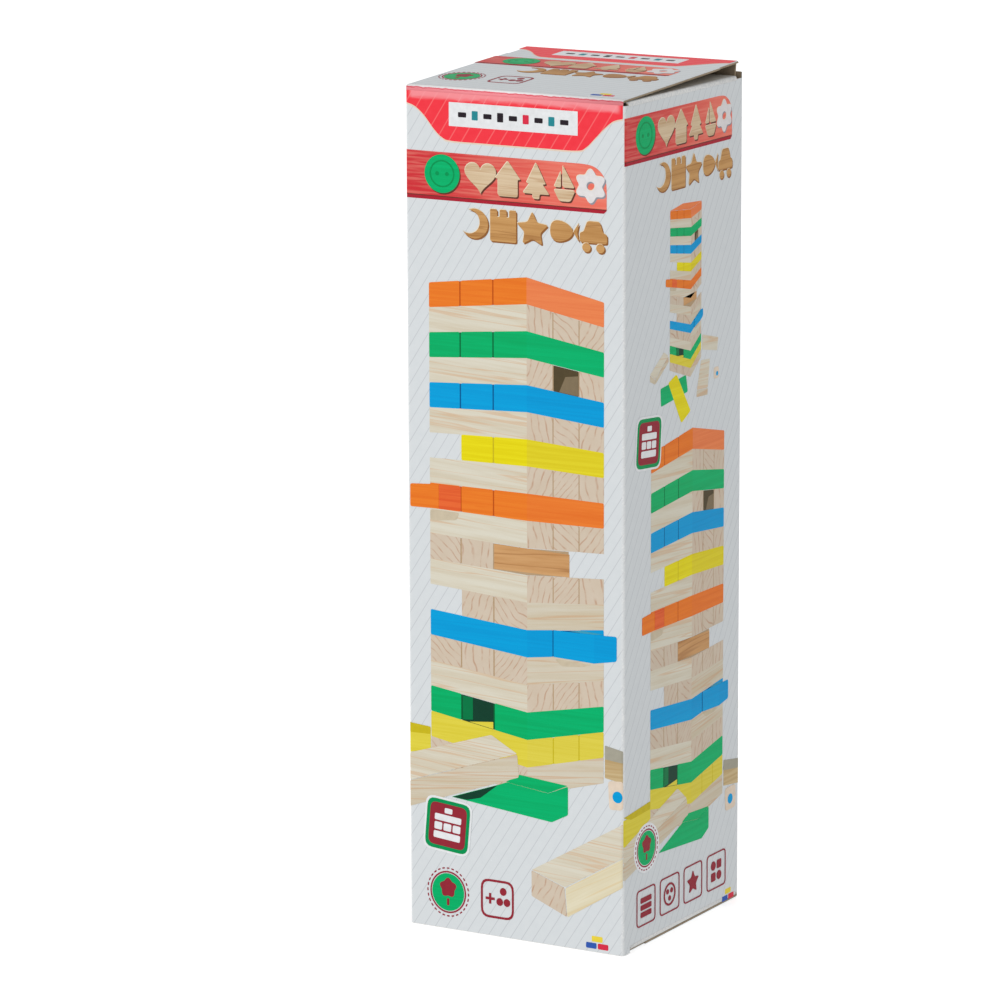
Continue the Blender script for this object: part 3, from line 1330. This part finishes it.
# %% Front feet
inks["paper"] = sleeve_board
FLAP_CUT, FOOT_LOW, FOOT_HIGH, EDGE = 4.4, 0.1, 2.2, 0.05
film("foot", "right", "paper", 1, [bar(EDGE, FOOT_LOW, FLAP_CUT, FOOT_HIGH, EDGE)])
far_foot = bar(DEEP - FLAP_CUT, FOOT_LOW, DEEP - EDGE, FOOT_HIGH, EDGE)
left_foot = film("foot_far", "right", "paper", 1, [far_foot])
left_foot.data.transform(half_turn)
left_foot.name = "left_foot"
print("feet closed")

# %% [markdown]
# ## The creases
# On the real carton the panels are one sheet, and a crease is the sheet itself, bent. The
# packed panels stop just short of their hinges, so each crease gets a thin strip of skin over
# the gap. Its section is a leg, an arc and a leg, filled as a flat curve and drawn out along
# the crease. It follows one panel at its start and the other at its end, and bends between.

# %% A crease strip
SKIN = 0.09


AXES = {"x": ((0, 0, 1), (1, 0, 0), (0, 1, 0)), "y": ((1, 0, 0), (0, 0, 1), (0, 1, 0))}


def fold_path(centre, radius, angle_from, angle_to, leg_from, leg_to):
    turn = 1 if angle_to > angle_from else -1
    arc = []
    for step in range(9):
        angle = math.radians(angle_from + (angle_to - angle_from) * step / 8)
        out = Vector((math.cos(angle), math.sin(angle)))
        arc.append((Vector(centre) + out * radius, Vector((-out.y, out.x)) * turn))
    start, end = arc[0], arc[-1]
    path = [start[0] - start[1] * leg_from * share for share in (1, 0.5)]
    path += [spot for spot, _ in arc]
    return path + [end[0] + end[1] * leg_to * share for share in (0.5, 1)]


def crease(name, along, span, fold, start, end, outside):
    """fold is the section's centre, radius, two angles and two legs, in millimetres."""
    centre, radius, *rest = fold
    section = fold_path(centre, radius, *rest) + fold_path(centre, radius - SKIN, *rest)[::-1]
    strip = filled(name, [section], span[1] - span[0])
    axes = Matrix(AXES[along])
    strip.data.transform(Matrix.Translation((0, 0, (span[0] + span[1]) / 2)))
    strip.data.transform(Matrix.Scale(MM, 4) @ axes.to_4x4())
    edit(strip)
    bpy.ops.mesh.remove_doubles(threshold=WELD * MM)
    bpy.ops.mesh.normals_make_consistent(inside=False)
    leave_edit()
    strip.data.materials.clear()
    strip.data.materials.append(outside.material)
    strip.data.materials.append(fold_inside.material)
    bend_axis = axes @ Vector((*centre, 0)) * MM
    for polygon in strip.data.polygons:
        towards = bend_axis - polygon.center
        towards[0 if along == "x" else 1] = 0
        polygon.material_index = 1 if polygon.normal.dot(towards) > 0 else 0
    [c * MM for c in start]
    [c * MM for c in end]
    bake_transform(strip)


print("skin:", SKIN)

# %% [markdown]
# The strips need three finishes. Over the front, the header's red ends in a ragged pale line
# where the varnish is cracked. The other creases are plain worn white, and all are pulp inside.

# %% The creases' finishes
fold_front = Finish("front_fold", 0.3)
fold_place = fold_front.place()
_, fold_y, fold_z = fold_front.split(fold_place)
ragged = fold_front.noise(fold_place, 0.35, 4)
travel = (fold_z - (TALL - 1.7)) + (fold_y + DEEP / 2) + ragged * 1.2 - 0.6
over = [
    (0.0, tint(248, 140, 148)), (0.2, tint(246, 150, 158)), (0.27, tint(226, 62, 80)),
    (0.33, tint(236, 150, 158)), (0.4, tint(248, 247, 247)), (0.72, tint(238, 239, 240)),
    (1.0, tint(216, 219, 221)),
]
varnish = fold_front.ramp(travel / 4, over)
fold_front.paint(varnish, 0.26 + ragged * 0.2)
fold_plain = Finish("plain_fold", 0.4)
worn = fold_plain.noise(fold_plain.place(), 1.1, 5)
worn = fold_plain.ease(worn, 0.4, 0.6)
fold_plain.paint(fold_plain.blend(worn, tint(220, 222, 222), tint(236, 236, 234)), 0.4)
fold_inside = Finish("fold_pulp", 0.85)
pulp_colour, pulp_fibres = raw_pulp(fold_inside, fold_inside.place())
fold_inside.paint(pulp_colour, 0.8 + pulp_fibres * 0.1)

print("fold finishes made")

# %% Crease strips
ajar = math.degrees(LID_AJAR)
crease("lid_crease", "x", (-half_w + 0.55, half_w - 0.55),
       ((-half_d + 0.8, TALL - 0.78), 0.87, 180, 90 + ajar, 0.9, 1.3),
       (0, -half_d, TALL - 0.9), (0, -half_d + 0.7, TALL), fold_front)
crease("lid_tongue_crease", "x", (-38, 38),
       ((37.86, 280.33), 0.86, 90 + ajar, -7, 0.6, 0.8), (0, 37.9, 281.1), (0, 38.55, 280.3), fold_plain)
crease("base_crease", "x", (-39.4, 39.4),
       ((half_d - 0.8, 0.8), 0.84, 0, -90, 1.0, 1.2), (0, half_d, 0.9), (0, half_d - 0.8, 0), fold_plain)
crease("base_tongue_crease", "x", (-38, 38),
       ((-37.2, 0.8), 0.83, -90, -180, 1.2, 0.6), (0, -37.3, 0), (0, -38, 0.9), fold_plain)
for side, sign in (("left", -1), ("right", 1)):
    wall, hinge = sign * half_w, sign * (half_w - 0.8)
    out_angle = 0 if sign > 0 else 180
    crease("dust_crease_" + side, "y", (-37.6, 35.2),
           ((hinge, TALL - 1.75), 0.85, out_angle, 90 - sign * ajar / 2, 0.6, 0.8),
           (wall, 0, TALL - 1.7), (hinge, 0, TALL - 0.95), fold_plain)
    crease("base_flap_crease_" + side, "y", (-35.2, 38),
           ((hinge, 1.75), 0.85, -out_angle, -90, 0.7, 0.8), (wall, 0, 1.7), (hinge, 0, 0.9), fold_plain)
print("crease strips done")

low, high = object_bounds()
